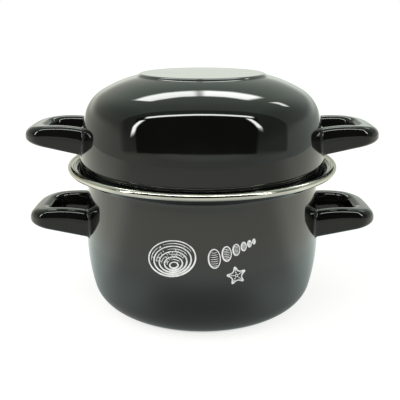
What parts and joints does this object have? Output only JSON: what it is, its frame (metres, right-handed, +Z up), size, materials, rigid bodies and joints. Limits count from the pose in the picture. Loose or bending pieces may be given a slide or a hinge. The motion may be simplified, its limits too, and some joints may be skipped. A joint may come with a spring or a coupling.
{
  "type": "mussel pot",
  "caption": "Enamelled steel mussel pot with a deep bowl-shaped lid, pressed loop handles on pot and lid, a bright trim round the rim and a line drawing on its belly.",
  "frame": {"origin": "middle of the flat base, on the surface that the pot stands on", "axes": "+Z up along the axis of the pot; X through the handles; -Y is the side with the print"},
  "size_m": [0.3262, 0.25, 0.2157],
  "materials": {
    "enamel_pot": "glossy black glass enamel",
    "enamel_lid": "glossy black glass enamel",
    "enamel_handles": "glossy black glass enamel",
    "trim_steel": "polished stainless steel strip",
    "print_white": "off-white print fired into the enamel"
  },
  "bodies": {
    "root": {"pot_body": "enamel_pot", "pot_handle_right": "enamel_handles", "pot_handle_left": "enamel_handles", "rim_trim": "trim_steel", "lid_shell": "enamel_lid", "lid_handle_right": "enamel_handles", "lid_handle_left": "enamel_handles", "belly_print": "print_white"}
  },
  "joints": []
}
